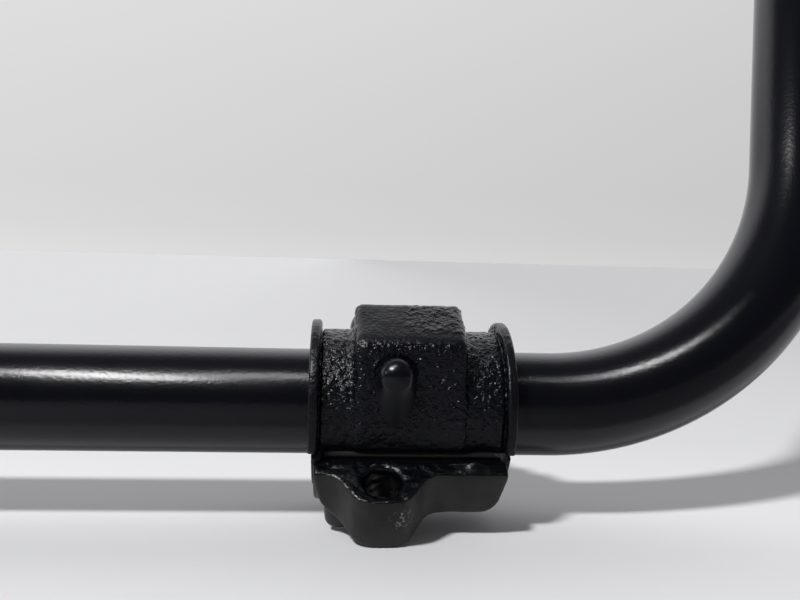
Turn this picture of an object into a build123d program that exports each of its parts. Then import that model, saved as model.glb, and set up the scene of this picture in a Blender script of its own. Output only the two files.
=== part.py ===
from build123d import *
import math
import os

# Anti-roll (sway) bar with its two mounting clamps. Millimetres, +Z up, X along the bar.
# Origin: on the axis of the straight middle, halfway between the clamps.
# The clamps lean forwards (towards -Y) about the bar's axis and the arms lean backwards,
# so the front ears and feet of both clamps stand on one level plane.

# Bar
bar_d = 32.0              # outside diameter
bar_wall = 5.0            # wall of the tube
clamp_pitch = 660.0       # centre of one clamp to centre of the other
clamp_to_bend = 43.8      # centre of a clamp to the start of the main bend
bend_r = 91.3             # centreline radius of the main bend
bend_angle = 84.0         # turn of the main bend
arm_run = 105.0           # straight run between the main bend and the joggle
joggle_r = 95.0           # centreline radius of the joggle
joggle_angle = 14.0       # turn of the joggle, back outwards
end_run = 45.0            # straight run between the joggle and the eye end
arm_lean = 14.1           # lean of the arms' plane behind the vertical, degrees

# Forged eye ends, welded to the tube
weld_proud = 0.9          # how far the weld flash stands off the tube
weld_len = 3.0
neck_len = 44.0           # round shank running out into the flat paddle
paddle_t = 14.0
paddle_w = 36.0
eye_to_neck = 19.0        # end of the neck to the centre of the eye
eye_d = 43.0
eye_bore_d = 12.2         # clearance for the M12 stud of a drop link
paddle_edge = 1.5         # rounding of the paddle's edges

# Rubber bushes; the upper half is the longer one
clamp_lean = 30.0         # lean of the clamps in front of the vertical, degrees
bush_clear = 0.05         # radial clearance of the bar in its bushes
bush_len = 59.6           # upper half, over both end lips
lower_inset = 1.1         # each end of the lower half stands this far inside the upper half
lip_t = 2.8               # thickness of an end lip
lip_wall = 9.2            # the walls are measured outwards from the bushes' bore
lip_edge = 0.6            # rounding of the lips' rims
groove_w = 0.9            # groove between a lip and the body of the upper half
groove_deep = 0.6
body_wall = 6.15          # round body of the upper half
band_wall = 7.25          # raised band round the middle of the upper half
band_w = 32.0             # length of the band and the block along the bar
band_x = -0.8             # centre of the band, from the clamp's centre
block_rise = 7.2          # flat seat on top, above the band
block_flat = 19.6         # width of the flat seat across the bar
block_edge = 3.0          # rounding of the seat's long edges
block_corner = 2.2        # rounding of the band's and the block's ends
seam_h = 1.7              # relief along the lower edge of the upper half
seam_deep = 1.3
lower_wall = 7.55         # lower half, where it sits in the bracket

# Locating pegs of the upper half
peg_d = 11.3
peg_inset = 0.55          # axis of a peg, inside the radius of the bushes' bore
front_sunk = 8.2          # start of the front peg's round top, below the flat seat
rear_sunk = 13.1
peg_foot = 6.0            # height of a peg's lower end above the split
peg_root = 3.35           # a peg's inner side stands this far outside the bore
front_peg_x = -5.1        # measured from the clamp's centre towards the bend
rear_peg_x = -12.5

# Cast bracket
bracket_inset = 1.0       # each end of the bracket stands this far inside the lower half
bracket_x = -0.3          # centre of the bracket, from the clamp's centre
bracket_top = -0.5        # top face, against the bar's axis
bracket_h = 13.6          # height of the base at its front face
bracket_rim = 5.3         # top face between the lips' recess and the front face
draft = 10.0              # fall of the underside towards the ears, degrees
flare = 11.0              # outward slope of the front and rear faces, degrees
end_corner = 6.0          # rounding of the base's lower end corners
end_upright = 2.5         # upright part of the base's ends, below its top
end_taper = 3.0           # how far the ends lean in below that
cradle_wall = 4.0         # wall under the lips' recess
lip_clear = 0.1           # clearance of the lips in their recess
rim_break = 0.3           # step along the cradle's upper rims, so the lower half stands free
hole_d = 10.6             # clearance for an M10 bolt
hole_edge = 1.0
hole_out = 2.4            # bolt hole in front of the base's face
ear_wall = 2.9            # wall of the ear in front of its hole
ear_side = 1.2            # the ear's tip is this much wider than its hole, each side
ear_spread = 7.0          # the ear's root is this much wider than its tip, each side
ear_tip_r = 8.0
ear_root_r = 6.5
lower_edge = 1.2          # rounding of the lower rim of base and ears
foot_inset = 3.3          # outer end of the foot, inside the end of the base
foot_len = 9.9
foot_w = 8.2
foot_proud = 1.8          # outer side of the foot in front of the top of the base's face
foot_h = 8.3              # height of the foot below the base
foot_sunk = 2.5           # and how far its top runs up into the base
foot_r = 3.6
foot_gap = 1.0            # foot to bolt hole

bar_r = bar_d / 2
mid_half = clamp_pitch / 2 + clamp_to_bend
bore_r = bar_r + bush_clear
lip_r = bore_r + lip_wall
body_r = bore_r + body_wall
band_r = bore_r + band_wall
lower_r = bore_r + lower_wall
lower_len = bush_len - 2 * lower_inset
block_top = band_r + block_rise
peg_out = bore_r - peg_inset
recess_r = lip_r + lip_clear
cradle_r = recess_r + cradle_wall
bracket_len = lower_len - 2 * bracket_inset
bracket_half = recess_r + bracket_rim
hole_r = hole_d / 2
hole_y = bracket_half + hole_out
ear_tip = hole_y + hole_r + ear_wall
foot_x = foot_inset + foot_len / 2 - bracket_len / 2
ear_x = foot_x + foot_len / 2 + foot_gap + hole_r


def arm_corners():
    """Corners and end of the right-hand half of the centreline, in the arms' plane."""
    first = bend_r * math.tan(math.radians(bend_angle / 2))
    second = joggle_r * math.tan(math.radians(joggle_angle / 2))
    slope = math.radians(bend_angle)
    end_slope = math.radians(bend_angle - joggle_angle)
    corner = Vector(mid_half + first, 0, 0)
    joggle = corner + Vector(math.cos(slope), 0, math.sin(slope)) * (first + arm_run + second)
    end = joggle + Vector(math.cos(end_slope), 0, math.sin(end_slope)) * (second + end_run)
    return corner, joggle, end


def mirrored(point):
    return Vector(-point.X, point.Y, point.Z)


def lean_arm(shape):
    """Turn a shape drawn in the XZ plane into the arms' plane."""
    return shape.rotate(Axis.X, -arm_lean)


def bar_tube():
    corner, joggle, end = arm_corners()
    route = [mirrored(end), mirrored(joggle), mirrored(corner), corner, joggle, end]
    path = FilletPolyline(*route, radius=[joggle_r, bend_r, bend_r, joggle_r])
    section = Circle(bar_r) - Circle(bar_r - bar_wall)
    start = Plane(origin=path @ 0, z_dir=path % 0)
    return lean_arm(sweep(start * section, path=path))


def eye_end():
    """Right-hand eye end: welded neck, flat paddle and bored eye, first drawn along +Z."""
    neck_start = Plane.XY * Circle(bar_r)
    neck_end = Plane.XY.offset(neck_len) * RectangleRounded(paddle_t, paddle_w, paddle_t * 0.3)
    neck = loft([neck_start, neck_end])
    flash = Pos(0, 0, weld_len / 2) * Cylinder(bar_r + weld_proud, weld_len)
    flash = fillet(flash.edges(), weld_proud * 0.8)
    eye_z = neck_len + eye_to_neck
    side = Plane.YZ.offset(-paddle_t / 2)
    outline = Pos(0, neck_len + eye_to_neck / 2) * Rectangle(paddle_w, eye_to_neck)
    outline += Pos(0, eye_z) * Circle(eye_d / 2)
    paddle = extrude(side * outline, paddle_t)
    rims = paddle.edges().filter_by(GeomType.CIRCLE)
    paddle = fillet(rims, paddle_edge)
    bore = Pos(0, 0, eye_z) * Rot(0, 90, 0) * Cylinder(eye_bore_d / 2, paddle_t * 2)
    shape = neck + flash + paddle - bore
    end = arm_corners()[2]
    tilt = 90 - (bend_angle - joggle_angle)
    return lean_arm(Pos(*end) * Rot(0, tilt, 0) * shape)


def along_bar(radius, length, centre=0.0):
    """A cylinder about the bar's axis."""
    return Pos(centre, 0, 0) * Rot(0, 90, 0) * Cylinder(radius, length)


def both_ends(shape):
    """A shape at one end of the clamp and its mirror image at the other end."""
    return shape + mirror(shape, Plane.YZ)


def half_space(upper):
    """A block over (or under) the split plane of the bushes."""
    size = 3 * bush_len
    return Pos(0, 0, size / 2 if upper else -size / 2) * Box(size, size, size)


def lips(over_all):
    """Round-edged lips at both ends of a bush half of this length."""
    lip = along_bar(lip_r, lip_t, (over_all - lip_t) / 2)
    return both_ends(fillet(lip.edges(), lip_edge))


def block():
    """Band and flat-topped block: flanks run from the flat seat, tangent to the band."""
    half = block_flat / 2
    reach = math.hypot(half, block_top)
    lean = math.atan2(half, block_top) + math.acos(band_r / reach)
    touch_y = band_r * math.sin(lean)
    touch_z = band_r * math.cos(lean)
    flanks = [(half, block_top), (touch_y, touch_z), (-touch_y, touch_z), (-half, block_top)]
    section = make_face(Polyline(*flanks, close=True)) + Circle(band_r)
    solid = extrude(Plane.YZ.offset(band_x - band_w / 2) * section, band_w)
    rims = solid.edges().filter_by(Axis.X).group_by(Axis.Z)[-1]
    solid = fillet(rims, block_edge)
    ends = solid.faces().sort_by(Axis.X)
    return fillet(ends[0].edges() + ends[-1].edges(), block_corner)


def peg(x, side, sunk):
    """A bullet-shaped peg, rounded at the top; side is -1 in front and 1 behind."""
    shoulder = block_top - sunk
    shank_h = shoulder - peg_foot
    shank = Pos(0, 0, peg_foot + shank_h / 2) * Cylinder(peg_d / 2, shank_h)
    bullet = shank + Pos(0, 0, shoulder) * Sphere(peg_d / 2)
    placed = Pos(x, side * peg_out, 0) * bullet
    return placed - along_bar(bore_r + peg_root, bush_len)


def pegs():
    return [peg(front_peg_x, -1, front_sunk), peg(rear_peg_x, 1, rear_sunk)]


def upper_bush():
    long = 2 * bush_len
    solid = along_bar(body_r, bush_len - lip_t) + lips(bush_len) + block()
    groove_x = (bush_len - groove_w) / 2 - lip_t
    ring = along_bar(2 * body_r, groove_w, groove_x) - along_bar(body_r - groove_deep, long)
    solid = (solid - both_ends(ring)) & half_space(True)
    seam = Box(long, 4 * band_r, 2 * seam_h) - Box(long, 2 * (band_r - seam_deep), 2 * seam_h)
    solid = solid - seam - along_bar(bore_r, long)
    for one in pegs():
        solid -= one
    return solid


def lower_bush():
    solid = along_bar(lower_r, lower_len - lip_t) + lips(lower_len)
    return (solid & half_space(False)) - along_bar(bore_r, 2 * bush_len)


def opposite(shape):
    """A shape together with its copy turned half round the clamp's upright axis."""
    return shape + shape.rotate(Axis.Z, 180)


def front_plan():
    """Plan of the base's front half with its ear: concave roots and a round tip."""
    tip = hole_r + ear_side
    root = tip + ear_spread
    plan = Pos(0, -bracket_half / 2) * Rectangle(bracket_len, bracket_half)
    corners = [(-root, -bracket_half), (-tip, -ear_tip), (tip, -ear_tip), (root, -bracket_half)]
    plan += Pos(ear_x, 0) * make_face(Polyline(*corners, (root, -hole_out), (-root, -hole_out), close=True))
    roots = [v for v in plan.vertices() if abs(abs(v.X - ear_x) - root) < 0.01]
    plan = fillet(roots, ear_root_r)
    return fillet(plan.vertices().group_by(Axis.Y)[0], ear_tip_r)


def base():
    """Base plate with an ear in front and one behind; front and rear faces flare downwards."""
    lean = Vector(0, -math.sin(math.radians(flare)), -math.cos(math.radians(flare)))
    deep = 2 * bracket_h
    half = extrude(Plane.XY.offset(bracket_top) * front_plan(), deep, dir=lean)
    fall = math.tan(math.radians(draft))
    front = bracket_half + bracket_h * math.tan(math.radians(flare))
    middle_z = bracket_top - bracket_h + fall * front
    reach = 2 * ear_tip
    side = [(0, bracket_top), (-reach, bracket_top), (-reach, middle_z - fall * reach), (0, middle_z)]
    half &= extrude(Plane.YZ * make_face(Polyline(*side, close=True)), bracket_len, both=True)
    end = bracket_len / 2
    lean_in = end_taper / (bracket_h - end_upright)
    foot_z = bracket_top - deep
    outline = [(end, bracket_top), (end, bracket_top - end_upright)]
    outline.append((end - lean_in * (deep - end_upright), foot_z))
    outline += [(-x, z) for x, z in reversed(outline)]
    half &= extrude(Plane.XZ * make_face(Polyline(*outline, close=True)), reach, both=True)
    under = half.faces().sort_by(Axis.Z)[0]
    ends = [edge for edge in under.edges() if abs(edge.center().X) > end / 2 and abs((edge % 0.5).Y) > 0.9]
    half = fillet(ends, end_corner)
    under = half.faces().sort_by(Axis.Z)[0]
    rims = [edge for edge in under.edges() if edge.center().Y < -bracket_half]
    return opposite(fillet(rims, lower_edge))


def foot():
    """Rounded foot under the base, beside the ear; its top runs up into the base."""
    tall = foot_h + foot_sunk
    pad = Box(foot_len, foot_w, tall)
    pad = fillet(pad.edges().filter_by(Axis.Z) + pad.faces().sort_by(Axis.Z)[0].edges(), foot_r)
    foot_z = bracket_top - bracket_h - foot_h + tall / 2
    return Pos(foot_x, foot_w / 2 - bracket_half - foot_proud, foot_z) * pad


def bracket():
    cradle = along_bar(cradle_r, bracket_len)
    solid = base() + (cradle & (Pos(0, 0, bracket_top) * half_space(False)))
    solid += opposite(foot())
    hole = Pos(ear_x, -hole_y, bracket_top) * Cylinder(hole_r, 4 * bracket_h)
    mouth = Pos(ear_x, -hole_y, bracket_top - hole_edge / 2)
    mouth *= Cone(hole_r, hole_r + hole_edge, hole_edge)
    solid = Pos(bracket_x, 0, 0) * (solid - opposite(hole) - opposite(mouth))
    recess_in = lower_len / 2 - lip_t - lip_clear
    recess = along_bar(recess_r, bush_len, recess_in + bush_len / 2)
    solid = solid - along_bar(lower_r, bush_len) - both_ends(recess)
    return solid - Pos(0, 0, bracket_top) * Box(2 * bush_len, 2 * (recess_r + rim_break), 2 * rim_break)


def place(shape, side):
    """Lean a clamp part and move it to the right-hand (1) or left-hand (-1) clamp."""
    placed = Pos(clamp_pitch / 2, 0, 0) * shape.rotate(Axis.X, clamp_lean)
    return placed if side > 0 else mirror(placed, Plane.YZ)


def group(shapes):
    """The shapes as one compound of separate solids."""
    return Compound(children=[Solid(shape.solids()[0].wrapped) for shape in shapes])


parts = {"bar_tube": bar_tube(), "right_eye_end": eye_end()}
parts["left_eye_end"] = mirror(parts["right_eye_end"], Plane.YZ)
for name, side in (("left", -1), ("right", 1)):
    parts[name + "_bracket"] = place(bracket(), side)
    parts[name + "_lower_bush"] = place(lower_bush(), side)
    parts[name + "_upper_bush"] = place(upper_bush(), side)
    parts[name + "_locating_pegs"] = group([place(one, side) for one in pegs()])

os.makedirs("parts", exist_ok=True)
for name, shape in parts.items():
    export_step(shape, f"parts/{name}.step")
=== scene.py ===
import math
import bmesh
import bpy
import numpy as np
from mathutils import Matrix, Vector


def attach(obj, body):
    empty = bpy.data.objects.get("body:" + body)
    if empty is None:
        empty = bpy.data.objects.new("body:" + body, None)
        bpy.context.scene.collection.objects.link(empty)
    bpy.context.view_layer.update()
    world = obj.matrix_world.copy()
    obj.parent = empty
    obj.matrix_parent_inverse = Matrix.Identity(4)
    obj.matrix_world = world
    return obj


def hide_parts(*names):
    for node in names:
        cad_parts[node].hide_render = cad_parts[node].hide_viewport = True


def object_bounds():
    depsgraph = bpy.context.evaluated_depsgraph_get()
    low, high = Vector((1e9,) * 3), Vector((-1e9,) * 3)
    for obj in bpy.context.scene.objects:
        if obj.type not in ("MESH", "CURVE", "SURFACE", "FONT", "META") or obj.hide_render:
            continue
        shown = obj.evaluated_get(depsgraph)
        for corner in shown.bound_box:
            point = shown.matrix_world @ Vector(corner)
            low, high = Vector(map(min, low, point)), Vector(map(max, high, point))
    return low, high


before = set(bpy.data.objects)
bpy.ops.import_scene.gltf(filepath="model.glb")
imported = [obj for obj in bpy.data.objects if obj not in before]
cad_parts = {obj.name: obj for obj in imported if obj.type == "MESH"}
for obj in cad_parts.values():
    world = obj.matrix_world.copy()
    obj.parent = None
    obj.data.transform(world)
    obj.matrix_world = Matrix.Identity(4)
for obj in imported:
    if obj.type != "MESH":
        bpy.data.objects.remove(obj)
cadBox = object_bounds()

print("frame loaded:", len(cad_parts), "nodes")

# The row frame in metres: X along the bar, Z up, the viewer on the -Y side. Sizes below are millimetres.
bar = {
    "diameter": 32.0,
    "wall": 5.0,
    "clampPitch": 660.0,       # centre of one clamp to centre of the other
    "clampToBend": 43.8,
    "bendRadius": 91.3,
    "bendAngle": 84.0,
    "armRun": 105.0,           # straight run between the bend and the joggle
    "joggleRadius": 95.0,
    "joggleAngle": 14.0,
    "endRun": 45.0,
    "armLean": 14.1,           # the arms lean back by this angle
    "columns": 96,
    "step": 2.2,               # spacing of the rings along the tube
}


def smooth(x, low, high):  # 0 below low, 1 above high, an S-curve between
    t = np.clip((x - low) / (high - low), 0.0, 1.0)
    return t * t * (3.0 - 2.0 * t)


def hashNoise(points, scale, seed):  # value noise from -1 to 1: random corners of a lattice, blended smoothly
    p = points / scale
    cell = np.floor(p).astype(np.int64)
    f = p - cell
    f = f * f * (3.0 - 2.0 * f)
    total = np.zeros(points.shape[:-1])
    for corner in range(8):
        step = np.array([corner & 1, (corner >> 1) & 1, (corner >> 2) & 1])
        c = (cell + step).astype(np.uint64)
        c = c * np.array([73856093, 19349663, 83492791], np.uint64)
        h = c[..., 0] ^ c[..., 1] ^ c[..., 2]
        h = (h ^ np.uint64(seed * 2654435761)) * np.uint64(6364136223846793005)
        h = (h >> np.uint64(33)).astype(np.float64) / 2.0 ** 31
        weight = np.prod(np.where(step == 1, f, 1.0 - f), axis=-1)
        total += weight * (h * 2.0 - 1.0)
    return total


def gridFaces(rows, columns, closeRows, closeColumns):  # quads between neighbouring points of a grid
    i = np.arange(rows if closeRows else rows - 1)
    j = np.arange(columns if closeColumns else columns - 1)
    i, j = np.meshgrid(i, j, indexing="ij")
    up, right = (i + 1) % rows, (j + 1) % columns
    quads = np.stack([i * columns + j, i * columns + right, up * columns + right, up * columns + j], axis=-1)
    return quads.reshape(-1, 4)


def makeMesh(name, points, quads, attributes=None):  # points in mm become a smooth mesh in metres
    mesh = bpy.data.meshes.new(name)
    mesh.vertices.add(len(points))
    mesh.vertices.foreach_set("co", (points / 1000.0).astype(np.float32).ravel())
    mesh.loops.add(quads.size)
    mesh.loops.foreach_set("vertex_index", quads.astype(np.int32).ravel())
    mesh.polygons.add(len(quads))
    mesh.polygons.foreach_set("loop_start", np.arange(0, quads.size, 4, dtype=np.int32))
    mesh.update(calc_edges=True)
    mesh.validate()
    for key, values in (attributes or {}).items():
        layer = mesh.attributes.new(key, "FLOAT", "POINT")
        layer.data.foreach_set("value", values.astype(np.float32).ravel())
    mesh.polygons.foreach_set("use_smooth", np.ones(len(mesh.polygons), bool))
    piece = bpy.data.objects.new(name, mesh)
    bpy.context.scene.collection.objects.link(piece)
    return piece


def tidyMesh(piece):  # merges doubled points and turns every face outwards
    mesh = bmesh.new()
    mesh.from_mesh(piece.data)
    bmesh.ops.remove_doubles(mesh, verts=mesh.verts, dist=2e-6)
    bmesh.ops.dissolve_degenerate(mesh, edges=mesh.edges, dist=1e-6)
    bmesh.ops.recalc_face_normals(mesh, faces=mesh.faces)
    mesh.to_mesh(piece.data)
    mesh.free()
    piece.data.update()


def linear(hexColour):  # sRGB hex to linear colour
    parts = [int(hexColour[i:i + 2], 16) / 255.0 for i in (1, 3, 5)]
    return [c / 12.92 if c <= 0.04045 else ((c + 0.055) / 1.055) ** 2.4 for c in parts] + [1.0]


def addNode(tree, kind, settings=None, links=None):  # one node, its settings, and what feeds its sockets
    node = tree.nodes.new(kind)
    for key, value in (settings or {}).items():
        if isinstance(key, int) or key in node.inputs:
            node.inputs[key].default_value = value
        else:
            setattr(node, key, value)
    for key, source in (links or {}).items():
        tree.links.new(source, node.inputs[key])
    return node


def newMaterial(name):
    material = bpy.data.materials.new(name)
    material.use_nodes = True
    tree = material.node_tree
    tree.nodes.clear()
    output = addNode(tree, "ShaderNodeOutputMaterial")
    return material, tree, output


# Satin black enamel sprayed on the steel tube: an even, deep black with fine orange peel that breaks up the
# highlight. Orange peel finer than a millimetre wouldn't show, so it is drawn that coarse.
barPaint = {"colour": "#080910", "specular": 0.34, "roughness": {"To Min": 0.17, "To Max": 0.25},
            "cloud": 16.667, "peelSize": 1.0, "peelDepth": 0.055}


def makeBarPaint():
    material, tree, output = newMaterial("SatinBlackEnamel")
    place = addNode(tree, "ShaderNodeTexCoord").outputs["Object"]
    peel = addNode(tree, "ShaderNodeTexNoise",
                   {"Scale": 1000 / barPaint["peelSize"], "Detail": 2.0, "Roughness": 0.6},
                   {"Vector": place}).outputs["Fac"]
    cloud = addNode(tree, "ShaderNodeTexNoise", {"Scale": 1000 / barPaint["cloud"], "Detail": 3.0},
                    {"Vector": place}).outputs["Fac"]
    rough = addNode(tree, "ShaderNodeMapRange", barPaint["roughness"], {"Value": cloud}).outputs["Result"]
    relief = addNode(tree, "ShaderNodeBump", {"Strength": 1.0, "Distance": barPaint["peelDepth"] / 1000},
                     {"Height": peel}).outputs["Normal"]
    shader = addNode(tree, "ShaderNodeBsdfPrincipled",
                     {"Base Color": linear(barPaint["colour"]), "Specular IOR Level": barPaint["specular"]},
                     {"Roughness": rough, "Normal": relief})
    tree.links.new(shader.outputs[0], output.inputs["Surface"])
    return material


# Ethylene-propylene rubber, brushed over with thick black paint: glossy crumbs on the rough parts, satin
# elsewhere. The real grain is finer than this and wouldn't show; it is drawn as coarse as it needs to be.
bushPaint = {"colour": "#08090f", "specular": 0.29, "gloss": {"To Min": 0.4, "To Max": 0.17},
             "grain": 1.25, "grainDepth": 0.75, "fine": 0.85, "fineDepth": 0.13}


def makeBushPaint():
    material, tree, output = newMaterial("PaintedRoughRubber")
    place = addNode(tree, "ShaderNodeTexCoord").outputs["Object"]
    crumb = addNode(tree, "ShaderNodeAttribute", {"attribute_name": "crumb"}).outputs["Fac"]
    grain = addNode(tree, "ShaderNodeTexNoise",
                    {"Scale": 1000 / bushPaint["grain"], "Detail": 2.0, "Roughness": 0.55},
                    {"Vector": place}).outputs["Fac"]
    fine = addNode(tree, "ShaderNodeTexNoise", {"Scale": 1000 / bushPaint["fine"], "Detail": 1.0},
                   {"Vector": place}).outputs["Fac"]
    height = addNode(tree, "ShaderNodeMath", {"operation": "MULTIPLY"}, {0: grain, 1: crumb}).outputs[0]
    coarse = addNode(tree, "ShaderNodeBump", {"Strength": 1.0, "Distance": bushPaint["grainDepth"] / 1000},
                     {"Height": height}).outputs["Normal"]
    relief = addNode(tree, "ShaderNodeBump", {"Strength": 1.0, "Distance": bushPaint["fineDepth"] / 1000},
                     {"Height": fine, "Normal": coarse}).outputs["Normal"]
    rough = addNode(tree, "ShaderNodeMapRange", bushPaint["gloss"], {"Value": crumb}).outputs["Result"]
    shader = addNode(tree, "ShaderNodeBsdfPrincipled",
                     {"Base Color": linear(bushPaint["colour"]), "Specular IOR Level": bushPaint["specular"]},
                     {"Roughness": rough, "Normal": relief})
    tree.links.new(shader.outputs[0], output.inputs["Surface"])
    return material


# Natural rubber, moulded: matt black with a faint bloom, a thin dull line between bracket and upper half.
lowerRubber = {"colour": "#0a0a0c", "bloom": "#101012", "cloud": 8.333, "roughness": 0.6, "specular": 0.3,
               "grain": 0.9, "grainDepth": 0.15}


def makeLowerRubber():
    material, tree, output = newMaterial("MouldedRubber")
    place = addNode(tree, "ShaderNodeTexCoord").outputs["Object"]
    grain = addNode(tree, "ShaderNodeTexNoise", {"Scale": 1000 / lowerRubber["grain"], "Detail": 3.0},
                    {"Vector": place}).outputs["Fac"]
    cloud = addNode(tree, "ShaderNodeTexNoise", {"Scale": 1000 / lowerRubber["cloud"], "Detail": 3.0},
                    {"Vector": place}).outputs["Fac"]
    colour = addNode(tree, "ShaderNodeMix", {"data_type": "RGBA", 6: linear(lowerRubber["colour"]),
                                             7: linear(lowerRubber["bloom"])}, {0: cloud}).outputs[2]
    relief = addNode(tree, "ShaderNodeBump", {"Strength": 1.0, "Distance": lowerRubber["grainDepth"] / 1000},
                     {"Height": grain}).outputs["Normal"]
    shader = addNode(tree, "ShaderNodeBsdfPrincipled",
                     {"Roughness": lowerRubber["roughness"], "Specular IOR Level": lowerRubber["specular"]},
                     {"Base Color": colour, "Normal": relief})
    tree.links.new(shader.outputs[0], output.inputs["Surface"])
    return material


# Moulded polyamide: a deep black, glossy dome with a faint ripple, and a foot made matt by the paint on it.
pegPlastic = {"colour": "#08090f", "specular": 0.36, "gloss": {"To Min": 0.22, "To Max": 0.6},
              "ripple": 2.2, "rippleDepth": 0.04}


def makePegPlastic():
    material, tree, output = newMaterial("GlossMouldedPolyamide")
    place = addNode(tree, "ShaderNodeTexCoord").outputs["Object"]
    ripple = addNode(tree, "ShaderNodeTexNoise", {"Scale": 1000 / pegPlastic["ripple"], "Detail": 2.0},
                     {"Vector": place}).outputs["Fac"]
    matt = addNode(tree, "ShaderNodeAttribute", {"attribute_name": "matt"}).outputs["Fac"]
    rough = addNode(tree, "ShaderNodeMapRange", pegPlastic["gloss"], {"Value": matt}).outputs["Result"]
    relief = addNode(tree, "ShaderNodeBump", {"Strength": 1.0, "Distance": pegPlastic["rippleDepth"] / 1000},
                     {"Height": ripple}).outputs["Normal"]
    shader = addNode(tree, "ShaderNodeBsdfPrincipled",
                     {"Base Color": linear(pegPlastic["colour"]),
                      "Specular IOR Level": pegPlastic["specular"]},
                     {"Roughness": rough, "Normal": relief})
    tree.links.new(shader.outputs[0], output.inputs["Surface"])
    return material


# Sand-cast iron: grey-green satin flanks, and thick brushed black paint on the top face and round the holes.
# Each "Edge" stretches a pattern so that it runs from 0 to 1 between its two values.
castIron = {
    "flank": "#20211e", "flankDark": "#161715", "paint": "#05060a", "scuff": "#8f8f86", "specular": 0.36,
    "roughness": {"To Min": 0.5, "To Max": 0.17},      # bare, painted
    "grain": 0.9, "grainDepth": 0.14,
    "crumb": 1.1, "crumbDepth": 0.2, "ragged": 0.35,
    "cloud": 7.143, "scratch": 1.3,
    "cloudEdge": {"From Min": 0.35, "From Max": 0.65, "interpolation_type": "SMOOTHSTEP"},
    "scratchEdge": {"From Min": 0.55, "From Max": 0.62, "interpolation_type": "SMOOTHSTEP"},
    "paintEdge": {"From Min": 0.42, "From Max": 0.58, "interpolation_type": "SMOOTHSTEP"},
}


def makeCastIron():
    material, tree, output = newMaterial("SandCastIron")
    place = addNode(tree, "ShaderNodeTexCoord").outputs["Object"]
    paint = addNode(tree, "ShaderNodeAttribute", {"attribute_name": "paint"}).outputs["Fac"]
    scuffArea = addNode(tree, "ShaderNodeAttribute", {"attribute_name": "scuff"}).outputs["Fac"]
    grain = addNode(tree, "ShaderNodeTexNoise",
                    {"Scale": 1000 / castIron["grain"], "Detail": 3.0, "Roughness": 0.6},
                    {"Vector": place}).outputs["Fac"]
    crumb = addNode(tree, "ShaderNodeTexNoise",
                    {"Scale": 1000 / castIron["crumb"], "Detail": 3.0, "Roughness": 0.6},
                    {"Vector": place}).outputs["Fac"]
    cloud = addNode(tree, "ShaderNodeTexNoise", {"Scale": 1000 / castIron["cloud"], "Detail": 4.0},
                    {"Vector": place}).outputs["Fac"]
    cloud = addNode(tree, "ShaderNodeMapRange", castIron["cloudEdge"], {"Value": cloud}).outputs["Result"]
    scratch = addNode(tree, "ShaderNodeTexNoise",
                      {"Scale": 1000 / castIron["scratch"], "Detail": 3.0, "Roughness": 0.7},
                      {"Vector": place}).outputs["Fac"]
    scratch = addNode(tree, "ShaderNodeMapRange", castIron["scratchEdge"],
                      {"Value": scratch}).outputs["Result"]
    # the paint ends in a ragged line
    ragged = addNode(tree, "ShaderNodeMath", {"operation": "MULTIPLY_ADD", 1: castIron["ragged"],
                                              2: -castIron["ragged"] / 2}, {0: crumb}).outputs[0]
    edge = addNode(tree, "ShaderNodeMath", {"operation": "ADD"}, {0: paint, 1: ragged}).outputs[0]
    painted = addNode(tree, "ShaderNodeMapRange", castIron["paintEdge"], {"Value": edge}).outputs["Result"]
    flank = addNode(tree, "ShaderNodeMix", {"data_type": "RGBA", 6: linear(castIron["flankDark"]),
                                            7: linear(castIron["flank"])}, {0: cloud}).outputs[2]
    worn = addNode(tree, "ShaderNodeMath", {"operation": "MULTIPLY"}, {0: scratch, 1: scuffArea}).outputs[0]
    flank = addNode(tree, "ShaderNodeMix", {"data_type": "RGBA", 7: linear(castIron["scuff"])},
                    {0: worn, 6: flank}).outputs[2]
    colour = addNode(tree, "ShaderNodeMix", {"data_type": "RGBA", 7: linear(castIron["paint"])},
                     {0: painted, 6: flank}).outputs[2]
    rough = addNode(tree, "ShaderNodeMapRange", castIron["roughness"], {"Value": painted}).outputs["Result"]
    sand = addNode(tree, "ShaderNodeBump", {"Strength": 1.0, "Distance": castIron["grainDepth"] / 1000},
                   {"Height": grain}).outputs["Normal"]
    lumps = addNode(tree, "ShaderNodeMath", {"operation": "MULTIPLY"}, {0: crumb, 1: painted}).outputs[0]
    relief = addNode(tree, "ShaderNodeBump", {"Strength": 1.0, "Distance": castIron["crumbDepth"] / 1000},
                     {"Height": lumps, "Normal": sand}).outputs["Normal"]
    shader = addNode(tree, "ShaderNodeBsdfPrincipled", {"Specular IOR Level": castIron["specular"]},
                     {"Base Color": colour, "Roughness": rough, "Normal": relief})
    tree.links.new(shader.outputs[0], output.inputs["Surface"])
    return material


materials = {
    "bar_paint": makeBarPaint(),
    "bush_rubber": makeBushPaint(),
    "lower": makeLowerRubber(),
    "peg_plastic": makePegPlastic(),
    "cast_bracket": makeCastIron(),
}
print("materials made:", len(materials))


def settle(piece, body, nodes, material):  # a piece takes its finish, its body and its CAD nodes
    piece.data.materials.clear()
    piece.data.materials.append(material)
    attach(piece, body)
    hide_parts(*nodes)


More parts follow.
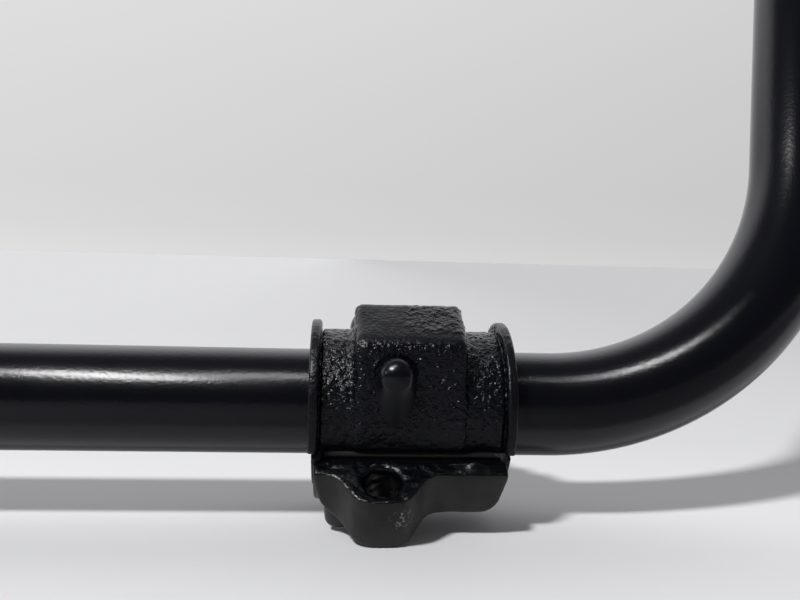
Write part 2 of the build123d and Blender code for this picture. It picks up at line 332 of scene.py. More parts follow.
# Bar: a ring of points carried along the centreline, outside and then back along the bore.
def halfRoute():  # stations along the right-hand half: x and z of the centreline, and its heading
    runs = [(bar["clampPitch"] / 2 + bar["clampToBend"], 0.0, 0.0),  # length, radius and turn of each run
            (0.0, bar["bendRadius"], bar["bendAngle"]),
            (bar["armRun"], 0.0, 0.0),
            (0.0, bar["joggleRadius"], -bar["joggleAngle"]),
            (bar["endRun"], 0.0, 0.0)]
    x, z, heading = 0.0, 0.0, 0.0
    stations = [np.array([[0.0, 0.0, 0.0]])]
    for length, radius, turn in runs:
        angle = math.radians(turn)
        distance = length + radius * abs(angle)
        s = np.linspace(0.0, 1.0, max(2, int(distance / bar["step"]) + 1))[1:]
        if radius:  # along an arc the heading turns evenly about the arc's centre
            h = heading + s * angle
            sign = math.copysign(1.0, angle)
            px = x + sign * radius * (np.sin(h) - math.sin(heading))
            pz = z - sign * radius * (np.cos(h) - math.cos(heading))
        else:
            h = np.full_like(s, heading)
            px = x + s * length * math.cos(heading)
            pz = z + s * length * math.sin(heading)
        stations.append(np.stack([px, pz, h], axis=-1))
        x, z, heading = px[-1], pz[-1], h[-1]
    return np.concatenate(stations)


def makeBar():  # a circle carried along the route, outside one way and along the bore back, then leaned
    right = halfRoute()
    left = right[:0:-1] * np.array([-1.0, 1.0, -1.0])
    route = np.concatenate([left, right])
    turn = np.linspace(0.0, 2.0 * math.pi, bar["columns"], endpoint=False)
    lean = math.radians(-bar["armLean"])
    rings = []
    for radius, stations in ((bar["diameter"] / 2, route), (bar["diameter"] / 2 - bar["wall"], route[::-3])):
        up = radius * np.cos(turn)[None, :]
        side = radius * np.sin(turn)[None, :]
        x, z, h = (stations[:, k][:, None] for k in range(3))
        rings.append(np.stack([x - up * np.sin(h), side + 0.0 * x, z + up * np.cos(h)], axis=-1))
    points = np.concatenate([rings[0], rings[1]])
    y = points[..., 1] * math.cos(lean) - points[..., 2] * math.sin(lean)
    z = points[..., 1] * math.sin(lean) + points[..., 2] * math.cos(lean)
    points = np.stack([points[..., 0], y, z], axis=-1)
    rows = len(points)
    piece = makeMesh("BarTube", points.reshape(-1, 3), gridFaces(rows, bar["columns"], True, True))
    tidyMesh(piece)
    settle(piece, "bar", ["bar_tube"], materials["bar_paint"])
    return piece


barPiece = makeBar()
print("bar made:", len(barPiece.data.vertices), "points")


# Clamp sizes, measured from the clamp's centre with the bracket's top level
clamp = {
    "lean": 30.0,
    "bore": 16.05,
    "upperLength": 59.6,
    "lowerLength": 57.4,
    "lipThick": 2.8,
    "lipRadius": 25.25,
    "lipEdge": 0.7,
    "grooveWide": 0.9,
    "grooveDeep": 0.6,
    "bodyRadius": 22.2,
    "bandRadius": 23.3,
    "bandFrom": -16.8,
    "bandTo": 15.2,
    "seatHeight": 30.5,
    "seatHalf": 9.8,
    "seatEdge": 3.0,           # rounding of the seat's long edges
    "edgeBlend": 0.35,         # how softly seat and flank run together, as a share of that rounding
    "cornerRound": 2.4,        # rounding of the block's ends
    "footRound": 2.2,          # hollow where the block meets the round body
    "seamHeight": 1.7,
    "seamRadius": 22.0,
    "lowerRadius": 23.6,
}
pegs = {
    "radius": 5.65,
    "axis": 15.5,              # from the bar's axis to a peg's axis
    "foot": 6.0,
    "frontX": -5.1,
    "rearX": -12.5,
    "frontShoulder": 22.3,
    "rearShoulder": 17.4,
    "rootRadius": 19.4,
    "swell": 0.3,              # paint thickens a peg towards its foot
    "swellDeep": 7.0,
    "domeLength": 6.4,
    "mattFrom": -1.0,          # below the shoulder, where the gloss starts to go
    "mattTo": 5.5,
}


def placeClamp(points, side):  # leans a clamp's points to the front and moves them to its place on the bar
    a = math.radians(clamp["lean"])
    y = points[..., 1] * math.cos(a) - points[..., 2] * math.sin(a)
    z = points[..., 1] * math.sin(a) + points[..., 2] * math.cos(a)
    x = side * (points[..., 0] + bar["clampPitch"] / 2)
    return np.stack([x, y, z], axis=-1)


def blockRadius(theta):  # from the bar's axis to the block's outline: round band, sloping flanks, flat seat
    band, top, half = clamp["bandRadius"], clamp["seatHeight"], clamp["seatHalf"]
    reach = math.hypot(half, top)
    lean = math.atan2(half, top) + math.acos(band / reach)
    up = np.abs(theta - math.pi / 2)
    seat = top / np.maximum(np.cos(up), 0.2)
    flank = band / np.maximum(np.cos(lean - up), 0.2)
    flank = np.where(up > lean, band, flank)
    outline = np.minimum(np.where(up < math.pi / 2 - 0.05, seat, 1e3), flank)
    soft = clamp["seatEdge"] * clamp["edgeBlend"]  # the two meet in a rounded edge
    overSeat = (np.minimum(seat, 60.0) - outline) / soft
    blend = -soft * np.log(np.exp(-overSeat) + np.exp(-(flank - outline) / soft))
    return outline + blend


def arcRun(count):  # quarter turn from 0 to 1 in count steps
    a = np.linspace(0.0, math.pi / 2, count)
    return np.sin(a), 1.0 - np.cos(a)


def upperProfile(theta):  # stations along the upper half, as x and distance from the axis for each theta
    half, lip, body = clamp["upperLength"] / 2, clamp["lipRadius"], clamp["bodyRadius"]
    block = blockRadius(theta)[None, :]
    one = np.ones_like(block)
    e = clamp["lipEdge"]
    es, ec = (e * k for k in arcRun(4))
    x, r = [], []

    def add(px, pr):
        x.append(np.atleast_1d(px).astype(float)[:, None] * one if np.ndim(px) < 2 else px)
        r.append(np.atleast_1d(pr).astype(float)[:, None] * one if np.ndim(pr) < 2 else pr)

    def lipSide(sign):  # from the bore up the end face, over the lip and down its inner side to the groove
        inside = half - clamp["lipThick"]
        px = np.concatenate([np.full(10, half), half - ec, np.linspace(half - e, inside + e, 5)[1:-1],
                             inside + e - es, np.full(4, inside)])
        pr = np.concatenate([np.linspace(clamp["bore"], lip - e, 10), lip - e + es, np.full(3, lip),
                             lip - ec, np.linspace(lip - e, body - clamp["grooveDeep"], 5)[1:]])
        g = clamp["grooveWide"]
        px = np.concatenate([px, inside - np.linspace(0.3, 1.0, 4) * g])
        pr = np.concatenate([pr, body - clamp["grooveDeep"] * np.array([1.0, 1.0, 0.6, 0.0])])
        return (px, pr) if sign > 0 else (-px, pr)

    px, pr = lipSide(-1)
    add(px, pr)
    inner = half - clamp["lipThick"] - clamp["grooveWide"]
    h = block - body
    foot = np.minimum(clamp["footRound"], 0.5 * h)
    top = np.minimum(clamp["cornerRound"], 0.5 * h)
    footWide, topWide = clamp["footRound"], clamp["cornerRound"]
    s, c = arcRun(8)
    s, c = s[:, None] * one, c[:, None] * one
    left, right = clamp["bandFrom"], clamp["bandTo"]
    runLeft = np.linspace(0.0, 1.0, 22)[1:-1, None] * one
    x.append(-inner + runLeft * (left - footWide + inner))
    r.append(body + 0.0 * runLeft)
    x.append(left - footWide * (1.0 - s))
    r.append(body + foot * c)
    wall = np.linspace(0.0, 1.0, 10)[1:-1, None] * one
    x.append(left + 0.0 * wall)
    r.append(body + foot + wall * (h - foot - top))
    x.append(left + topWide * c)
    r.append(block - top * (1.0 - s))
    across = np.linspace(0.0, 1.0, 86)[1:-1, None] * one
    x.append(left + topWide + across * (right - left - 2 * topWide))
    r.append(block + 0.0 * across)
    x.append(right - topWide * (1.0 - s))
    r.append(block - top * c)
    x.append(right + 0.0 * wall)
    r.append(block - top - wall * (h - foot - top))
    x.append(right + footWide * c)
    r.append(body + foot * (1.0 - s))
    runRight = np.linspace(0.0, 1.0, 28)[1:-1, None] * one
    x.append(right + footWide + runRight * (inner - right - footWide))
    r.append(body + 0.0 * runRight)
    px, pr = lipSide(1)
    add(px[::-1], pr[::-1])
    return np.concatenate(x), np.concatenate(r)


def gridNormals(points):  # unit normals of a grid of points from its two running directions
    along = np.gradient(points, axis=0)
    across = np.gradient(points, axis=1)
    normal = np.cross(along, across)
    return normal / np.maximum(np.linalg.norm(normal, axis=-1, keepdims=True), 1e-9)


def halfShell(name, x, r, theta, side, attributes=None):  # closes a half ring: outside, bore and split faces
    def ring(radius):
        return np.stack([x, -radius * np.cos(theta)[None, :], radius * np.sin(theta)[None, :]], axis=-1)
    outer = ring(r) if r.ndim == 2 else r
    bore = ring(np.full_like(x, clamp["bore"]))
    grid = np.concatenate([outer, bore[::-1]])
    rows = len(x)
    mirrorRows = np.r_[np.arange(rows, 2 * rows)[::-1], np.arange(rows)[::-1]]
    middle = (grid + grid[mirrorRows]) / 2
    grid = np.concatenate([middle[:, :1], grid, middle[:, -1:]], axis=1)
    full = {}
    for key, value in (attributes or {}).items():
        value = np.concatenate([value, np.zeros_like(value)])
        full[key] = np.concatenate([value[:, :1], value, value[:, -1:]], axis=1)
    points = placeClamp(grid, side)
    piece = makeMesh(name, points.reshape(-1, 3), gridFaces(2 * rows, grid.shape[1], True, False), full)
    tidyMesh(piece)
    return piece


# Grain and paint on the upper half; each pair is where a change starts and ends, in mm
crumbs = {
    "size": 1.5, "height": 0.22, "fineSize": 0.9, "fineHeight": 0.17,
    "waveSize": 7.0, "waveHeight": 0.16,
    "seed": 11, "leftSeed": 5,
    "least": 0.5, "fullAt": (3.0, 12.0),               # half as rough just above the split
    "seatAt": (29.0, 30.3), "seatCalm": 0.85,          # the flat seat is smooth, but for one patch
    "patchSize": 11.0, "patchSlope": 0.045, "patchFrom": 2.0, "patchEdge": 0.5, "patchRough": 0.55,
    "lipAt": (1.8, 2.6), "lipAlong": (25.5, 26.8), "lipCalm": 0.7,
    "endAt": (0.5, 0.1), "endCalm": 0.6,
    "ridgeHeight": 0.35, "ridgeAt": 1.1, "ridgeWide": 0.4, "ridgeFrom": (22.0, 25.0),
    "calm": 0.6, "calmWide": 0.6, "calmFrom": (17.0, 23.0),
    "seamCalm": 0.25, "seamOver": 0.2,
}


def distanceToPeg(x, y, z):  # from the surface of the front peg
    across = np.hypot(x - pegs["frontX"], y + pegs["axis"])
    over = np.sqrt(across ** 2 + np.maximum(z - pegs["frontShoulder"], 0.0) ** 2)
    return np.where(z > pegs["frontShoulder"], over, across) - pegs["radius"]


def makeUpperBush(name, side):  # the upper profile turned through a half turn, then raised along its normals
    theta = np.linspace(0.0, math.pi, 181)
    half = clamp["upperLength"] / 2
    x, r = upperProfile(theta)
    seam = r * np.sin(theta)[None, :] < clamp["seamHeight"]
    atSeam = clamp["seamRadius"] / np.maximum(np.abs(np.cos(theta))[None, :], 0.5)
    r = np.where(seam, np.minimum(r, atSeam), r)
    y = -r * np.cos(theta)[None, :]
    z = r * np.sin(theta)[None, :]
    smoothed = np.stack([x, y, z], axis=-1)
    normal = gridNormals(smoothed)
    outwards = np.sign((normal * np.stack([0 * x, y, z], axis=-1)).sum(-1, keepdims=True))
    normal = normal * np.where(outwards == 0, 1.0, outwards)
    seed = crumbs["seed"] + (0 if side > 0 else crumbs["leftSeed"])
    # how rough each place is
    rough = crumbs["least"] + (1.0 - crumbs["least"]) * smooth(z, *crumbs["fullAt"])
    onSeat = smooth(z, *crumbs["seatAt"])
    uneven = hashNoise(smoothed, crumbs["patchSize"], seed + 3)
    uneven = uneven + crumbs["patchSlope"] * (x - crumbs["patchFrom"])
    patch = smooth(uneven, 0.0, crumbs["patchEdge"])
    rough = rough * (1.0 - onSeat * (crumbs["seatCalm"] - crumbs["patchRough"] * patch))
    endFace = smooth(np.abs(x), half - crumbs["endAt"][0], half - crumbs["endAt"][1])
    onLip = smooth(r - clamp["bodyRadius"], *crumbs["lipAt"]) * smooth(np.abs(x), *crumbs["lipAlong"])
    rough = rough * (1.0 - crumbs["lipCalm"] * onLip) * (1.0 - crumbs["endCalm"] * endFace)
    coarse = hashNoise(smoothed, crumbs["size"], seed)
    fine = hashNoise(smoothed, crumbs["fineSize"], seed + 1)
    rise = rough * (crumbs["height"] * coarse + crumbs["fineHeight"] * fine)
    rise += crumbs["waveHeight"] * hashNoise(smoothed, crumbs["waveSize"], seed + 2) * (1.0 - endFace)
    # thick paint gathers in a ridge over the front peg and is calm close to it
    near = distanceToPeg(x, y, z)
    ridge = np.exp(-((near - crumbs["ridgeAt"]) / crumbs["ridgeWide"]) ** 2) * smooth(z, *crumbs["ridgeFrom"])
    hush = np.exp(-(np.maximum(near, 0.0) / crumbs["calmWide"]) ** 2) * smooth(z, *crumbs["calmFrom"])
    calm = 1.0 - crumbs["calm"] * hush * (y < 0)
    rise = rise * calm + crumbs["ridgeHeight"] * ridge * (y < 0)
    rise = rise * np.where(z < clamp["seamHeight"] + crumbs["seamOver"], crumbs["seamCalm"], 1.0)
    points = smoothed + normal * rise[..., None]
    # the end faces and the split stay flat and inside the CAD piece
    points[..., 0] = np.where(np.abs(x) > half - 0.05, x, points[..., 0])
    points[..., 0] = np.clip(points[..., 0], -half, half)
    points[0], points[-1] = smoothed[0], smoothed[-1]
    points[..., 2] = np.maximum(points[..., 2], 0.0)
    return halfShell(name, x, points, theta, side, {"crumb": rough * calm})


def makeLowerBush(name, side):  # a plain lipped profile turned through the lower half turn
    theta = np.linspace(math.pi, 2.0 * math.pi, 121)
    half, lip, body, e = clamp["lowerLength"] / 2, clamp["lipRadius"], clamp["lowerRadius"], clamp["lipEdge"]
    s, c = arcRun(4)
    inside = half - clamp["lipThick"]
    px = np.concatenate([np.full(4, half), half - e * c, inside + e - e * s, np.full(3, inside),
                         inside - np.linspace(2, 24, 10)])
    pr = np.concatenate([np.linspace(clamp["bore"], lip - e, 4), lip - e + e * s, lip - e * c,
                         np.linspace(lip - e, body, 3), np.full(10, body)])
    px = np.concatenate([-px, px[::-1]])
    pr = np.concatenate([pr, pr[::-1]])
    x = px[:, None] + 0.0 * theta[None, :]
    r = pr[:, None] + 0.0 * theta[None, :]
    return halfShell(name, x, r, theta, side)


def makePegs(name, side):  # bullets: a half ellipse and a straight flank turned about an upright axis
    turn = np.linspace(0.0, 2.0 * math.pi, 72, endpoint=False)
    rise = np.linspace(0.0, math.pi / 2, 28)
    share = np.linspace(0.0, 1.0, 30)[:-1]
    foot = pegs["foot"]
    grids, matt = [], []
    for where, label in ((-1, "front"), (1, "rear")):
        shoulder = pegs[label + "Shoulder"]
        domeFoot = shoulder + pegs["radius"] - pegs["domeLength"]
        swell = pegs["swell"] * smooth((shoulder - foot) * (1.0 - share), 0.0, pegs["swellDeep"])
        radius = np.concatenate([[0.0], pegs["radius"] + swell, pegs["radius"] * np.cos(rise)])
        height = np.concatenate([[foot], foot + share * (domeFoot - foot),
                                 domeFoot + pegs["domeLength"] * np.sin(rise)])
        x = pegs[label + "X"] + radius[:, None] * np.cos(turn)
        y = where * pegs["axis"] + radius[:, None] * np.sin(turn)
        z = height[:, None] + 0.0 * x
        push = np.maximum(1.0, pegs["rootRadius"] / np.hypot(y, z))  # the root follows the round body
        grids.append(np.stack([x, y * push, z * push], axis=-1))
        matt.append(smooth(shoulder - z, pegs["mattFrom"], pegs["mattTo"]).ravel())
    rows, columns = grids[0].shape[:2]
    faces = gridFaces(rows, columns, False, True)
    points = np.concatenate([placeClamp(g, side).reshape(-1, 3) for g in grids])
    faces = np.concatenate([faces, faces + rows * columns])
    piece = makeMesh(name, points, faces, {"matt": np.concatenate(matt)})
    tidyMesh(piece)
    return piece


def remeshed(name, node, voxel):  # a copy of a CAD node with merged points, rebuilt on an even grid of quads
    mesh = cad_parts[node].data.copy()
    piece = bpy.data.objects.new(name, mesh)
    bpy.context.scene.collection.objects.link(piece)
    tidyMesh(piece)
    remesh = piece.modifiers.new("Even", "REMESH")
    remesh.mode = "VOXEL"
    remesh.voxel_size = voxel / 1000.0
    remesh.adaptivity = 0.0
    soften = piece.modifiers.new("Soften", "CORRECTIVE_SMOOTH")
    soften.factor = 0.5
    soften.iterations = 2
    soften.use_only_smooth = True
    view = bpy.context.evaluated_depsgraph_get()
    done = bpy.data.meshes.new_from_object(piece.evaluated_get(view))
    piece.modifiers.clear()
    piece.data = done
    piece.data.polygons.foreach_set("use_smooth", np.ones(len(piece.data.polygons), bool))
    return piece


def meshArrays(piece):  # its points in mm and its normals
    count = len(piece.data.vertices)
    points, normals = np.zeros(count * 3, np.float32), np.zeros(count * 3, np.float32)
    piece.data.vertices.foreach_get("co", points)
    piece.data.vertices.foreach_get("normal", normals)
    return points.reshape(-1, 3).astype(float) * 1000.0, normals.reshape(-1, 3).astype(float)


# Sizes on the front half, in the clamp's own frame; each pair is where a change starts and ends
bracket = {
    "voxel": 0.55, "seed": 31, "leftSeed": 7,
    "crumbSize": 1.7, "crumbHeight": 0.28,             # brushed paint
    "castSize": 4.0, "castHeight": 0.1,                # unevenness of the casting
    "shift": -0.3, "holeX": -8.2, "holeY": -33.05, "holeRadius": 5.3, "holePaint": (0.2, 1.4),
    "topFacing": (0.45, 0.8), "topDepth": (-2.2, -1.2),
    "outside": (0.35, 0.8),                            # beyond the lips, where the surface may be uneven
    "lumpX": 18.6, "lumpY": -27.0, "lumpLong": 3.4, "lumpWide": 1.6, "lumpHeight": 1.3,
    "scuffX": -2.6, "scuffZ": -6.0, "scuffWide": 2.4, "scuffTall": 3.0,
}
eyeVoxel = 0.7  # grid of the eye ends, mm


def makeBracket(name, node, side):  # the CAD casting on an even grid, raised along its normals
    piece = remeshed(name, node, bracket["voxel"])
    points, normals = meshArrays(piece)
    flip = np.array([side, 1.0, 1.0])
    a = math.radians(-clamp["lean"])

    def level(v):  # back to the clamp's own upright frame
        return np.stack([v[:, 0], v[:, 1] * math.cos(a) - v[:, 2] * math.sin(a),
                         v[:, 1] * math.sin(a) + v[:, 2] * math.cos(a)], axis=-1)

    local = level(points * flip - np.array([bar["clampPitch"] / 2, 0.0, 0.0]))
    facing = level(normals * flip)
    front = np.where(local[:, 1] < 0, 1.0, -1.0)  # the rear half repeats the front half, turned half round
    u, v = (local[:, 0] - bracket["shift"]) * front, local[:, 1] * front
    fromHole = np.hypot(u - bracket["holeX"], v - bracket["holeY"]) - bracket["holeRadius"]
    onTop = smooth(facing[:, 2], *bracket["topFacing"]) * smooth(local[:, 2], *bracket["topDepth"])
    painted = np.maximum(onTop, 1.0 - smooth(fromHole, *bracket["holePaint"]))
    outside = smooth(np.hypot(local[:, 1], local[:, 2]) - clamp["lipRadius"], *bracket["outside"])
    seed = bracket["seed"] + (0 if side > 0 else bracket["leftSeed"])
    rise = painted * bracket["crumbHeight"] * hashNoise(local, bracket["crumbSize"], seed)
    rise += bracket["castHeight"] * hashNoise(local, bracket["castSize"], seed + 1)
    lump = np.exp(-((u - bracket["lumpX"]) / bracket["lumpLong"]) ** 2
                  - ((v - bracket["lumpY"]) / bracket["lumpWide"]) ** 2)
    rise = (rise + bracket["lumpHeight"] * lump * onTop) * outside
    points = points + normals * rise[:, None]
    piece.data.vertices.foreach_set("co", (points / 1000.0).astype(np.float32).ravel())
    scuff = np.exp(-((u - bracket["scuffX"]) / bracket["scuffWide"]) ** 2
                   - ((local[:, 2] - bracket["scuffZ"]) / bracket["scuffTall"]) ** 2)
    scuff = scuff * (front > 0) * (1.0 - painted)
    for key, value in (("paint", painted), ("scuff", scuff)):
        layer = piece.data.attributes.new(key, "FLOAT", "POINT")
        layer.data.foreach_set("value", value.astype(np.float32))
    piece.data.update()
    return piece


for side, label in ((1, "right"), (-1, "left")):
    body = label + "_clamp"
    title = label.capitalize()
    settle(makeUpperBush(title + "UpperBush", side), body, [label + "_upper_bush"],
           materials["bush_rubber"])
    settle(makeLowerBush(title + "LowerBush", side), body, [label + "_lower_bush"],
           materials["lower"])
    settle(makePegs(title + "LocatingPegs", side), body, [label + "_locating_pegs"],
           materials["peg_plastic"])
    settle(makeBracket(title + "Bracket", label + "_bracket", side), body, [label + "_bracket"],
           materials["cast_bracket"])
    eye = remeshed(title + "EyeEnd", label + "_eye_end", eyeVoxel)
    settle(eye, "bar", [label + "_eye_end"], materials["bar_paint"])
    print(label, "clamp and eye end made")

# Stage: a pale floor with painted shade (darker to the right and to the back), a soft key light from the upper
# left, and for each half of the bar two small lamps and a spot. The lamps, the spots and a grey card low in
# front are only seen mirrored; the card is a painted reflection of shaded floor. Lamps are placed in mm, and the
# floor's and the card's painted shade in metres.
stage = {
    "floorSize": 30.0, "floor": "#f6f6f8", "floorCloud": 111.1,
    "floorRoughness": {"To Min": 0.55, "To Max": 0.7},
    # painted shade on the floor: darker towards the right, and towards the back at the depths below
    "paintedShadeAcross": {"From Min": -0.1, "From Max": 0.9, "To Min": 1.0, "To Max": 0.80,
             "interpolation_type": "SMOOTHSTEP"},
    "depths": (-0.2, -0.02, 0.1, 0.6), "depthShades": (1.0, 0.97, 0.82, 0.75),
    "keyStrength": 2.5, "keyAngle": 7.0, "keyFrom": (-0.42, -0.42, 0.80),
    "lamps": (((178.0, -135.0, 203.0), (115.0, 50.0), 0.62),  # place, size and power
              ((264.0, -114.0, 210.0), (90.0, 50.0), 0.12)),
    "lampsFace": (260.0, 0.0, 0.0),
    "spotAt": (431.0, -115.0, 232.0), "spotFaces": (401.0, -10.0, 16.0),
    "spotRadius": 20.0, "spotPower": 0.75, "spotCone": 12.0, "spotBlend": 0.8,
    # painted reflection of shaded floor: the card darkens to the right, where the camera's shadow falls, and
    # towards the front
    "card": "#c6c6c8", "cardX": (-1200.0, 1500.0), "cardY": (-1500.0, -40.0), "cardRise": 1.0,
    "cardShadeRight": {"From Min": 0.15, "From Max": 0.45, "To Min": 1.0, "To Max": 0.45},
    "cardShadeFront": {"From Min": -0.45, "From Max": -0.03, "To Min": 0.55, "To Max": 1.0},
}


def setStops(node, places, levels, blue=1.0):  # the grey steps of a colour ramp
    stops = node.color_ramp.elements
    for k, (where, level) in enumerate(zip(places, levels)):
        stop = stops[k] if k < 2 else stops.new(where)
        stop.position = where
        stop.color = (level, level, level * blue, 1.0)


def makeFloor():
    low = cadBox[0].z
    h = stage["floorSize"] / 2
    mesh = bpy.data.meshes.new("Floor")
    mesh.from_pydata([(-h, -h, low), (h, -h, low), (h, h, low), (-h, h, low)], [], [(0, 1, 2, 3)])
    floor = bpy.data.objects.new("Floor", mesh)
    bpy.context.scene.collection.objects.link(floor)
    material, tree, output = newMaterial("MattWhiteLaminate")
    place = addNode(tree, "ShaderNodeTexCoord").outputs["Object"]
    cloud = addNode(tree, "ShaderNodeTexNoise", {"Scale": 1000 / stage["floorCloud"], "Detail": 3.0},
                    {"Vector": place}).outputs["Fac"]
    rough = addNode(tree, "ShaderNodeMapRange", stage["floorRoughness"], {"Value": cloud}).outputs["Result"]
    split = addNode(tree, "ShaderNodeSeparateXYZ", {}, {0: place})
    # painted shade: the floor's colour darkens towards the right, and by the ramp below towards the back
    paintedShadeAcross = addNode(tree, "ShaderNodeMapRange", stage["paintedShadeAcross"], {"Value": split.outputs["X"]})
    near, far = stage["depths"][0], stage["depths"][-1]
    run = addNode(tree, "ShaderNodeMapRange", {"From Min": near, "From Max": far},
                  {"Value": split.outputs["Y"]})
    depthShade = addNode(tree, "ShaderNodeValToRGB", {}, {0: run.outputs["Result"]})
    depthShade.color_ramp.interpolation = "B_SPLINE"
    setStops(depthShade, [(depth - near) / (far - near) for depth in stage["depths"]], stage["depthShades"])
    level = addNode(tree, "ShaderNodeMath", {"operation": "MULTIPLY"},
                    {0: paintedShadeAcross.outputs["Result"], 1: depthShade.outputs["Color"]}).outputs[0]
    colour = addNode(tree, "ShaderNodeMix", {"data_type": "RGBA", "blend_type": "MULTIPLY", 0: 1.0,
                                             6: linear(stage["floor"])}, {7: level}).outputs[2]
    shader = addNode(tree, "ShaderNodeBsdfPrincipled", {"Specular IOR Level": 0.0},
                     {"Base Color": colour, "Roughness": rough})
    tree.links.new(shader.outputs[0], output.inputs["Surface"])
    mesh.materials.append(material)


def addLamp(name, kind, settings, place, towards):  # places a lamp so that it shines from place to towards
    lamp = bpy.data.lights.new(name, kind)
    for key, value in settings.items():
        setattr(lamp, key, value)
    light = bpy.data.objects.new(name, lamp)
    light.location = Vector(place) / 1000.0
    light.rotation_mode = "QUATERNION"
    light.rotation_quaternion = (Vector(place) - Vector(towards)).to_track_quat("Z", "Y")
    bpy.context.scene.collection.objects.link(light)
    return light


def makeLight():
    key = addLamp("Key", "SUN", {"energy": stage["keyStrength"], "angle": math.radians(stage["keyAngle"])},
                  stage["keyFrom"], (0.0, 0.0, 0.0))
    key.visible_glossy = False
    shines = []
    for side, label in ((1.0, "Right"), (-1.0, "Left")):  # the two halves of the bar get the same lamps
        flip = np.array([side, 1.0, 1.0])
        face = flip * np.array(stage["lampsFace"])
        for k, (place, size, power) in enumerate(stage["lamps"]):
            settings = {"energy": power, "shape": "ELLIPSE", "size": size[0] / 1000.0,
                        "size_y": size[1] / 1000.0}
            shines.append(addLamp(label + "Lamp" + str(k + 1), "AREA", settings, flip * np.array(place),
                                  face))
        settings = {"energy": stage["spotPower"], "shadow_soft_size": stage["spotRadius"] / 1000.0,
                    "spot_size": math.radians(stage["spotCone"]), "spot_blend": stage["spotBlend"]}
        shines.append(addLamp(label + "Spot", "SPOT", settings, flip * np.array(stage["spotAt"]),
                              flip * np.array(stage["spotFaces"])))
    for light in shines:
        light.visible_diffuse = False
        light.visible_camera = False
    # a grey card low in front, seen only in reflections: a painted reflection of the shaded floor, darker to the
    # right and to the front
    (x0, x1), (y0, y1) = stage["cardX"], stage["cardY"]
    low = cadBox[0].z * 1000.0 + stage["cardRise"]
    card = makeMesh("ReflectedShadeCard", np.array([[x0, y0, low], [x1, y0, low], [x1, y1, low], [x0, y1, low]]),
                    np.array([[0, 1, 2, 3]]))
    material, tree, output = newMaterial("ReflectedShadeGrey")
    place = addNode(tree, "ShaderNodeTexCoord").outputs["Object"]
    split = addNode(tree, "ShaderNodeSeparateXYZ", {}, {0: place})
    right = addNode(tree, "ShaderNodeMapRange", stage["cardShadeRight"], {"Value": split.outputs["X"]})
    front = addNode(tree, "ShaderNodeMapRange", stage["cardShadeFront"], {"Value": split.outputs["Y"]})
    level = addNode(tree, "ShaderNodeMath", {"operation": "MULTIPLY"},
                    {0: right.outputs["Result"], 1: front.outputs["Result"]}).outputs[0]
    colour = addNode(tree, "ShaderNodeMix", {"data_type": "RGBA", "blend_type": "MULTIPLY", 0: 1.0,
                                             6: linear(stage["card"])}, {7: level}).outputs[2]
    shader = addNode(tree, "ShaderNodeBsdfDiffuse", {}, {"Color": colour})
    tree.links.new(shader.outputs[0], output.inputs["Surface"])
    card.data.materials.append(material)
    card.visible_camera = card.visible_diffuse = card.visible_shadow = False


# Surroundings: bright behind, dim in front where the room is dark. Angles are shares of a half turn from the
# front over the top to the back. Seen straight on, the walls are pale grey with painted shade: darker in a band
# a little above the floor and towards the right.
walls = {
    "angles": [0.0, 0.17, 0.24, 0.40, 0.52, 0.62, 0.70, 0.80, 0.90, 1.0],
    "levels": [0.05, 0.05, 0.08, 0.14, 0.14, 0.26, 1.20, 1.50, 0.95, 0.85],
    "blue": 1.02,
    # painted shade on the wall seen by the camera: darker a little above the floor, and towards the right
    "seenAt": [0.0, 0.03, 0.08, 0.2, 0.34],
    "seen": [0.745, 0.705, 0.69, 0.72, 0.77],
    "seenShadeAcross": {"From Min": -0.45, "From Max": 0.5, "To Min": 1.0, "To Max": 0.84},
}


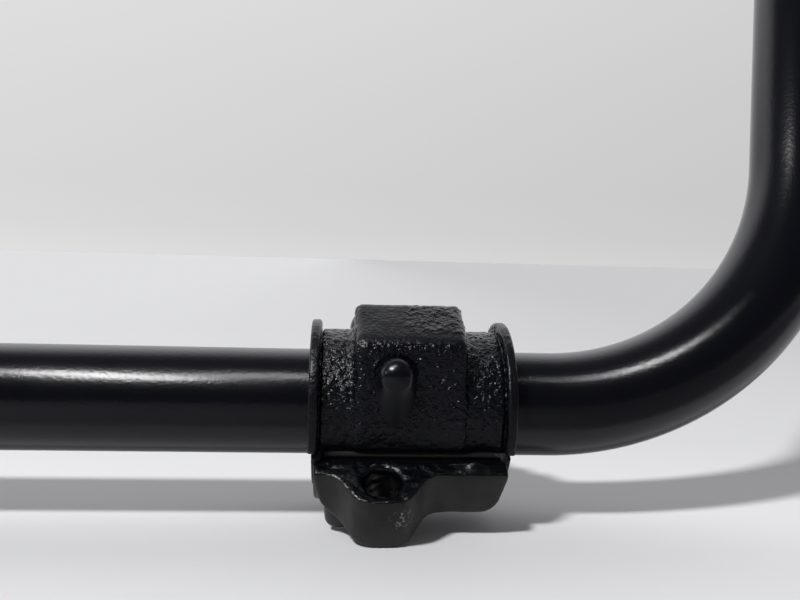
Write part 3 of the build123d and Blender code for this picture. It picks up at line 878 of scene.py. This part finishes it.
def makeSurroundings():
    world = bpy.data.worlds.new("Surroundings")
    bpy.context.scene.world = world
    world.use_nodes = True
    tree = world.node_tree
    tree.nodes.clear()
    output = addNode(tree, "ShaderNodeOutputWorld")
    look = addNode(tree, "ShaderNodeTexCoord").outputs["Generated"]
    split = addNode(tree, "ShaderNodeSeparateXYZ", {}, {0: look})
    ahead = addNode(tree, "ShaderNodeMath", {"operation": "MULTIPLY", 1: -1.0},
                    {0: split.outputs["Y"]}).outputs[0]
    height = addNode(tree, "ShaderNodeMath", {"operation": "MAXIMUM", 1: 0.0},
                     {0: split.outputs["Z"]}).outputs[0]
    angle = addNode(tree, "ShaderNodeMath", {"operation": "ARCTAN2"}, {0: height, 1: ahead}).outputs[0]
    turn = addNode(tree, "ShaderNodeMath", {"operation": "MULTIPLY", 1: 1.0 / math.pi}, {0: angle}).outputs[0]
    band = addNode(tree, "ShaderNodeValToRGB", {}, {0: turn})
    setStops(band, walls["angles"], walls["levels"], walls["blue"])
    lit = addNode(tree, "ShaderNodeBackground", {"Strength": 1.0}, {"Color": band.outputs["Color"]})
    # the wall as the camera sees it, with its painted shade by height and across
    seen = addNode(tree, "ShaderNodeValToRGB", {}, {0: split.outputs["Z"]})
    setStops(seen, walls["seenAt"], walls["seen"])
    paintedShadeAcross = addNode(tree, "ShaderNodeMapRange", walls["seenShadeAcross"], {"Value": split.outputs["X"]})
    shown = addNode(tree, "ShaderNodeBackground", {},
                    {"Color": seen.outputs["Color"], "Strength": paintedShadeAcross.outputs["Result"]})
    straight = addNode(tree, "ShaderNodeLightPath").outputs["Is Camera Ray"]
    mix = addNode(tree, "ShaderNodeMixShader", {}, {0: straight, 1: lit.outputs[0], 2: shown.outputs[0]})
    tree.links.new(mix.outputs[0], output.inputs["Surface"])


camera = {"place": (309.3, -246.6, 45.2), "yaw": 4.09, "pitch": 3.11, "roll": 1.56, "lens": 36.0,
          "sensor": 36.0}


def makeCamera():
    yaw, pitch, roll = (math.radians(camera[k]) for k in ("yaw", "pitch", "roll"))
    ahead = Vector((math.sin(yaw) * math.cos(pitch), math.cos(yaw) * math.cos(pitch), -math.sin(pitch)))
    right = ahead.cross(Vector((0, 0, 1))).normalized()
    up = right.cross(ahead)
    right, up = (right * math.cos(roll) + up * math.sin(roll), up * math.cos(roll) - right * math.sin(roll))
    data = bpy.data.cameras.new("Camera")
    data.lens, data.sensor_width = camera["lens"], camera["sensor"]
    data.clip_start, data.clip_end = 0.01, 60.0
    eyePoint = bpy.data.objects.new("Camera", data)
    turn = Matrix((right, up, -ahead)).transposed().to_4x4()
    eyePoint.matrix_world = Matrix.Translation(Vector(camera["place"]) / 1000.0) @ turn
    bpy.context.scene.collection.objects.link(eyePoint)
    bpy.context.scene.camera = eyePoint


makeFloor()
makeLight()
makeSurroundings()
makeCamera()
bpy.context.scene.view_settings.view_transform = "Standard"
bpy.context.scene.view_settings.look = "None"
print("stage, light and camera made")
